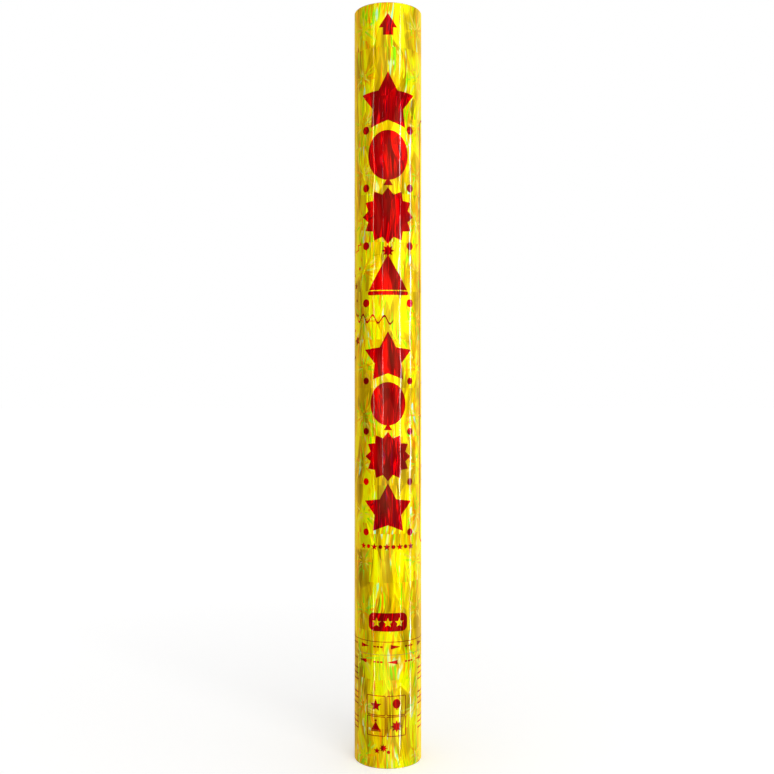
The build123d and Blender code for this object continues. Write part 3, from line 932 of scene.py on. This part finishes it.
def slip_stack(width, depth):
    """Flat slips on end, one behind the other."""
    stack = new_primitive("plane", size=1.0, rotation=upright)
    stack.scale = (width - slip_trim, slip_length - slip_trim, 1)
    settle(stack)
    cut_across(stack, 2, slip_folds)
    count = round(depth / slip_pitch)
    rows = stack.modifiers.new("rows", "ARRAY")
    rows.use_relative_offset = False
    rows.use_constant_offset = True
    rows.constant_offset_displace = (0, depth / count, 0)
    rows.count = count
    bpy.ops.object.modifier_apply(modifier=rows.name)
    for point in stack.data.vertices:
        point.co.y += (depth / count - depth) / 2
    return stack


def loosen(stack, sway):
    """Shifts, tilts and bows each slip of a stack a little, then gives it its thickness."""
    corners = 2 * (slip_folds + 2)
    for first in range(0, len(stack.data.vertices), corners):
        lift = sway.uniform(-slip_lift, slip_lift)
        shift = sway.uniform(-slip_shift, slip_shift)
        tilt = sway.uniform(-slip_tilt, slip_tilt)
        bow = sway.uniform(-slip_bow, slip_bow)
        for point in stack.data.vertices[first:first + corners]:
            share = 2 * point.co.z / slip_length
            point.co.x += shift + tilt * point.co.z
            point.co.y += bow * (1 - share ** 2)
            point.co.z += lift
    thicken(stack, slip_thickness, 0)


def set_out(piece, turn, across, forward, height):
    """Moves a piece out from the tube's axis and turns it about the axis."""
    piece.location = (across, forward, height)
    settle(piece)
    piece.rotation_euler = (0, 0, turn)
    settle(piece)
    return piece


sway = random.Random(19)
core_stack = slip_stack(core_side, core_side)
side_stack = slip_stack(side_width, side_depth)
slips = {colour: [] for colour in confetti_colours}
for tier in range(tier_count):
    middle = tier_bottom + slip_length / 2 + tier * (slip_length + charge_gap)
    for quarter in range(4):
        for template, across, forward, shift in (
            (core_stack, core_offset, core_offset, 0), (side_stack, 0, side_start + side_depth / 2, 2),
        ):
            stack = own_copy(template)
            loosen(stack, sway)
            set_out(stack, quarter * math.pi / 2, across, forward, middle)
            slips[confetti_colours[(tier + quarter + shift) % 4]].append(stack)
for template in (core_stack, side_stack):
    bpy.data.objects.remove(template)
for colour, stacks in slips.items():
    finish_piece(join(stacks), f"{colour}_slips", finishes[f"{colour}_slips"], f"{colour}_slips",
                 "confetti", f"confetti_{colour}")


# Streamers: tape wound into rolls that lie flat on the slips, drawn thicker than it is so that it shows
tape_width = 14 * mm
tape_thickness = 0.4 * mm
roll_core = 2.6 * mm
roll_turns = 10.5
roll_cuts = (23, 20)
roll_layers = 3
roll_radius = (math.sqrt(3) * charge_radius - charge_gap) / (2 + math.sqrt(3))
streamer_colours = ("red", "silver", "green")
streamer_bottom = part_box("streamers_red")[0].z


def tape_roll():
    """Tape wound from the core outwards, its end lying on the last turn."""
    length = math.pi * (roll_core + roll_radius) * roll_turns
    tape = new_primitive("plane", size=1.0, rotation=upright)
    tape.scale = (length, tape_width, 1)
    settle(tape)
    for cuts in roll_cuts:
        cut_across(tape, 0, cuts)
    growth = (roll_radius - tape_thickness - roll_core) / roll_turns
    for point in tape.data.vertices:
        turns = (point.co.x / length + 0.5) * roll_turns
        radius = roll_core + growth * turns
        angle = 2 * math.pi * turns
        point.co.x, point.co.y = radius * math.cos(angle), radius * math.sin(angle)
    thicken(tape, tape_thickness, 0)
    bpy.ops.object.shade_smooth_by_angle(angle=smooth_angle)
    return tape


roll = tape_roll()
for number, colour in enumerate(streamer_colours):
    turn = number * 2 * math.pi / len(streamer_colours)
    rolls = []
    for layer in range(roll_layers):
        middle = streamer_bottom + tape_width / 2 + layer * (tape_width + charge_gap)
        rolls.append(set_out(own_copy(roll), turn, charge_radius - roll_radius, 0, middle))
    finish_piece(join(rolls), f"{colour}_streamers", finishes[f"{colour}_tape"], f"{colour}_tape",
                 "streamers", f"streamers_{colour}")
bpy.data.objects.remove(roll)


# Finishes of the pieces that keep their solid
for row in frame["record"]["subparts"]:
    if row["material_slot"] in finishes:
        node = nodes[row["node"]]
        node.data.materials.clear()
        node.data.materials.append(finishes[row["material_slot"]])


# White floor that keeps the shadow, filled with a little light that only the camera sees
floor_size = 24.0
floor_fill_near = 0.22
floor_fill_far = 0.38
fill_start = 0.05
fill_end = 1.0
floor_material, floor_tree, floor_shader = surface("white_floor", roughness=1.0, specular_ior_level=0.0,
                                                   base_color=linear("F4F4F4"))
floor_place = add(floor_tree, "TexCoord").outputs["Object"]
from_foot = add(floor_tree, "VectorMath", {0: floor_place}, operation="LENGTH").outputs["Value"]
fill = add(floor_tree, "MapRange", {0: from_foot, 1: fill_start, 2: fill_end, 3: floor_fill_near,
                                    4: floor_fill_far})
seen = add(floor_tree, "LightPath").outputs["Is Camera Ray"]
seen_fill = add(floor_tree, "Math", {0: seen, 1: fill}, operation="MULTIPLY")
glow = add(floor_tree, "Emission", {0: linear("FFFFFF"), 1: seen_fill})
lit = add(floor_tree, "AddShader", {0: floor_shader, 1: glow})
link(floor_tree, floor_tree.nodes["Material Output"], {"Surface": lit})
floor = new_primitive("plane", size=floor_size)
floor.name = "studio_floor"
floor.data.materials.append(floor_material)
floor.visible_glossy = False

# White world, a little dimmer where it lights what is matt
world_light = 0.7
world = bpy.data.worlds.new("studio")
bpy.context.scene.world = world
world.use_nodes = True
sky = world.node_tree
path = add(sky, "LightPath")
mirror = add(sky, "Math", {0: path.outputs["Is Camera Ray"], 1: path.outputs["Is Glossy Ray"]},
             operation="MAXIMUM")
clear = add(sky, "Math", {0: mirror, 1: path.outputs["Is Transmission Ray"]}, operation="MAXIMUM")
level = add(sky, "MapRange", {0: clear, 3: world_light, 4: 1.0})
link(sky, sky.nodes["Background"], {"Color": linear("FFFFFF"), "Strength": level})

# Thin strip lamps: azimuth in degrees, height, width, length and radiance, and colour
strip_distance = 0.9
strip_lamps = {
    "strip_right": (41.7, 0.30, 0.03, 1.5, 32, "FFFFFF"),
    "strip_far_right": (81.5, 0.24, 0.045, 1.0, 31, "D4CCFF"),
    "strip_left": (-49, 0.30, 0.025, 1.5, 18, "FFEFD2"),
    "strip_near_left": (-17, 0.44, 0.025, 0.6, 15, "FFFFFF"),
}

# Soft square lamp at the front
soft_azimuth = 24
soft_distance = 1.6
soft_height = 0.9
soft_side = 1.2
soft_radiance = 3.2


def lamp(name, azimuth, distance, height, width, tall, radiance, colour, strip):
    """Upright lamp that faces the tube, its azimuth counted from the camera, right positive. A strip
    lights only what mirrors it and a soft lamp only what is matt."""
    light = bpy.data.lights.new(name, "AREA")
    light.shape = "RECTANGLE"
    light.size, light.size_y = width, tall
    light.energy = radiance * math.pi * width * tall
    light.color = linear(colour)[:3]
    turn = math.radians(azimuth)
    thing = bpy.data.objects.new(name, light)
    thing.location = (distance * math.sin(turn), -distance * math.cos(turn), height)
    thing.rotation_euler = (math.pi / 2, 0, turn)
    thing.visible_diffuse = not strip
    thing.visible_glossy = strip
    bpy.context.scene.collection.objects.link(thing)


for name, (azimuth, height, width, tall, radiance, colour) in strip_lamps.items():
    lamp(name, azimuth, strip_distance, height, width, tall, radiance, colour, strip=True)
lamp("soft_front", soft_azimuth, soft_distance, soft_height, soft_side, soft_side, soft_radiance, "FFFFFF",
     strip=False)

# Cards round the tube: azimuth and the angle covered in degrees, colour and strength
flag_distance = 1.5
flag_middle = 0.6
flag_tall = 3.2
flags = {
    "flag_front": (0, 72, "ECE4A0", 1.0),
    "flag_front_right": (62, 52, "A8A870", 1.0),
    "flag_right": (100, 24, "58583C", 1.0),
    "flag_right_back": (145, 66, "FFDC70", 1.5),
    "flag_left": (-66, 60, "705828", 1.0),
    "flag_left_side": (-104, 16, "604820", 1.0),
    "flag_left_back": (-134, 44, "F0C048", 1.0),
    "flag_back": (-168, 24, "908860", 1.0),
}


def flag(name, azimuth, covered, colour, strength):
    """Tall card that only mirrors see, so that the film has a room to reflect round its lamps."""
    material, tree = surface(name)[:2]
    shine = add(tree, "Emission", {0: linear(colour), 1: strength})
    link(tree, tree.nodes["Material Output"], {"Surface": shine})
    turn = math.radians(azimuth)
    card = new_primitive("plane", size=1.0, rotation=(math.pi / 2, 0, turn),
                         location=(flag_distance * math.sin(turn), -flag_distance * math.cos(turn),
                                   flag_middle))
    card.scale = (2 * flag_distance * math.tan(math.radians(covered / 2)), flag_tall, 1)
    settle(card)
    card.name = name
    card.data.materials.append(material)
    card.visible_camera = card.visible_diffuse = card.visible_shadow = card.visible_transmission = False


for name, (azimuth, covered, colour, strength) in flags.items():
    flag(name, azimuth, covered, colour, strength)

# Camera at the photograph's place, level
camera = bpy.data.objects.new("camera", bpy.data.cameras.new("camera"))
camera.data.lens = 45.86
camera.data.sensor_width = 36
camera.location = (-0.0007, -0.745, 0.2789)
camera.rotation_euler = upright
bpy.context.scene.collection.objects.link(camera)
bpy.context.scene.camera = camera
bpy.context.scene.view_settings.view_transform = "Standard"
